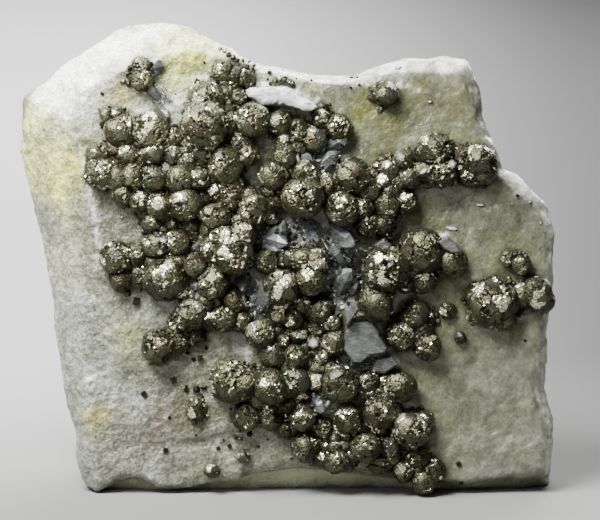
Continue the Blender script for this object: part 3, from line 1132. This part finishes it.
def scatter_tree(name, shapes, mask, material, upright):
    """Geometry Nodes: small crystals over a surface, denser where an attribute of it is high."""
    tree = bpy.data.node_groups.new(name, "GeometryNodeTree")
    tree.interface.new_socket("Surface", in_out="INPUT", socket_type="NodeSocketGeometry")
    for label in ("Density", "Smallest", "Largest"):
        tree.interface.new_socket(label, in_out="INPUT", socket_type="NodeSocketFloat")
    tree.interface.new_socket("Seed", in_out="INPUT", socket_type="NodeSocketInt")
    tree.interface.new_socket("Crystals", in_out="OUTPUT", socket_type="NodeSocketGeometry")
    add = Nodes(tree).add
    given = add("NodeGroupInput").outputs

    where = add("GeometryNodeInputNamedAttribute", {"Name": mask}, data_type="FLOAT").outputs["Attribute"]
    density = add("ShaderNodeMath", {0: where, 1: given["Density"]}, operation="MULTIPLY").outputs[0]
    points = add("GeometryNodeDistributePointsOnFaces",
                 {"Mesh": given["Surface"], "Density": density, "Seed": given["Seed"]}).outputs
    holder = add("GeometryNodeGeometryToInstance")
    for shape in shapes:
        info = add("GeometryNodeObjectInfo", {"Object": shape})
        tree.links.new(info.outputs["Geometry"], holder.inputs["Geometry"])
    size = add("FunctionNodeRandomValue", {2: given["Smallest"], 3: given["Largest"]}).outputs[1]
    lean = 0.7 if upright else math.pi
    turn = add("FunctionNodeRandomValue", {0: (-lean, -lean, -math.pi), 1: (lean, lean, math.pi)},
               data_type="FLOAT_VECTOR").outputs[0]
    grown = add("GeometryNodeInstanceOnPoints",
                {"Pick Instance": True, "Points": points["Points"], "Instance": holder.outputs["Instances"],
                 "Rotation": points["Rotation"], "Scale": size}).outputs["Instances"]
    last = add("GeometryNodeRotateInstances", {"Instances": grown, "Rotation": turn}).outputs["Instances"]
    for attribute, seed in (("tone", 3), ("hue", 4)):
        value = add("FunctionNodeRandomValue", {"Seed": seed}).outputs[1]
        inputs = {"Name": attribute, "Geometry": last, "Value": value}
        last = add("GeometryNodeStoreNamedAttribute", inputs, domain="INSTANCE").outputs["Geometry"]
    last = add("GeometryNodeRealizeInstances", {"Geometry": last}).outputs["Geometry"]
    last = add("GeometryNodeSetMaterial", {"Material": material, "Geometry": last}).outputs["Geometry"]
    add("NodeGroupOutput", {"Crystals": last})
    return tree


def scatter(name, surface, kind, mask, material, upright=False, **sizes):
    """A piece of small crystals on a surface; density is per square millimetre, sizes in millimetres."""
    shapes = [crystal_shape(f"{name}_shape_{k}", kind, 50 + k) for k in range(4)]
    tree = scatter_tree(name, shapes, mask, material, upright)
    thing = add_object(name + "_surface", surface.data.copy())
    step = thing.modifiers.new("crystals", "NODES")
    step.node_group = tree
    scale = {"Density": MM ** -2, "Smallest": MM, "Largest": MM, "Seed": 1}
    for socket in tree.interface.items_tree:
        if socket.in_out == "INPUT" and socket.name in sizes:
            step[socket.identifier] = sizes[socket.name] * scale[socket.name]
    mesh = baked_mesh(thing)
    for shape in shapes:
        bpy.data.objects.remove(shape)
    return new_piece(name, mesh, material)


# Camera, light and floor


def add_camera():
    data = bpy.data.cameras.new("camera")
    data.sensor_width = SENSOR
    data.lens = SENSOR * VIEW_DISTANCE / VIEW_WIDTH
    data.clip_start = 0.01
    data.clip_end = 10.0
    thing = add_object("camera", data)
    away = Vector((0.0, -math.cos(VIEW_DOWN), math.sin(VIEW_DOWN)))
    thing.location = face_place(*VIEW_CENTRE) + away * VIEW_DISTANCE * MM
    thing.rotation_euler = (math.pi / 2 - VIEW_DOWN, 0.0, 0.0)
    bpy.context.scene.camera = thing


def add_lights():
    for name, place, target, size, power, colour, spread_angle in LIGHTS:
        data = bpy.data.lights.new(name, "AREA")
        data.shape = "RECTANGLE"
        data.size, data.size_y = size
        data.energy = power
        data.color = colour
        data.spread = math.radians(spread_angle)
        thing = add_object(name, data)
        thing.location = place
        aim = Vector(target) - Vector(place)
        thing.rotation_euler = aim.to_track_quat("-Z", "Y").to_euler()
    world = bpy.data.worlds.new("studio")
    world.use_nodes = True
    background = world.node_tree.nodes["Background"].inputs
    background["Color"].default_value = SKY
    background["Strength"].default_value = SKY_STRENGTH
    bpy.context.scene.world = world


def add_stage():
    """A pale floor that curves up into the backdrop, well behind the place of any camera."""
    profile = [(-STAGE_HALF, 0.0), (FLOOR_END, 0.0)]
    for k in range(1, 13):
        angle = k / 12 * math.pi / 2
        profile.append((FLOOR_END + BEND * math.sin(angle), BEND * (1.0 - math.cos(angle))))
    profile.append((FLOOR_END + BEND, BACKDROP_TOP))
    bm = bmesh.new()
    left, right = ([bm.verts.new((x, y, z)) for y, z in profile] for x in (-STAGE_HALF, STAGE_HALF))
    for i in range(len(profile) - 1):
        bm.faces.new((left[i], right[i], right[i + 1], left[i + 1]))
    mesh = mesh_from(bm, "sweep")
    mesh.shade_smooth()
    m = Shader("pale_paper")
    axes = m.axes()
    across = m.between(axes["X"], -0.06, 0.09)
    in_front = m.mix(across, *FLOOR_IN_FRONT)
    colour = m.mix(m.between(axes["Y"], -0.05, 0.12), in_front, m.ramp(across, FLOOR_BEHIND))
    m.set(Base_Color=colour, Roughness=0.85)
    new_piece("sweep", mesh, m.material)


def build():
    quartz = quartz_material()
    crystal = crystal_material()
    pyrite = pyrite_material()
    matrix = new_piece("quartz_matrix_surface", matrix_mesh(), quartz)
    finish_piece(matrix, "quartz", "quartz_matrix")
    fill = scatter("pyrite_fill", matrix, "grain", "filled", pyrite,
                   Density=3.0, Smallest=0.3, Largest=0.75, Seed=5)
    finish_piece(fill, "pyrite", "pyrite_crust")
    druse = scatter("quartz_druse", matrix, "point", "druse", crystal, upright=True,
                    Density=2.2, Smallest=0.3, Largest=0.9, Seed=9)
    finish_piece(druse, "quartz", "quartz_matrix")
    pieces = add_pyrite(pyrite)
    crystals = crystals_mesh(Ground(matrix, *pieces))
    finish_piece(new_piece("quartz_crystals", crystals, crystal), "quartz", "quartz_matrix")
    finish_piece(new_piece("quartz_flake", flake_mesh(), white_material()), "quartz", "quartz_matrix")
    finish_piece(new_piece("pyrite_specks", specks_mesh(Ground(matrix)), pyrite), "pyrite", "pyrite_crust")
    add_stage()
    add_lights()
    add_camera()


# The vector noise starts from the clock unless it gets a seed
noise.seed_set(23)

build()
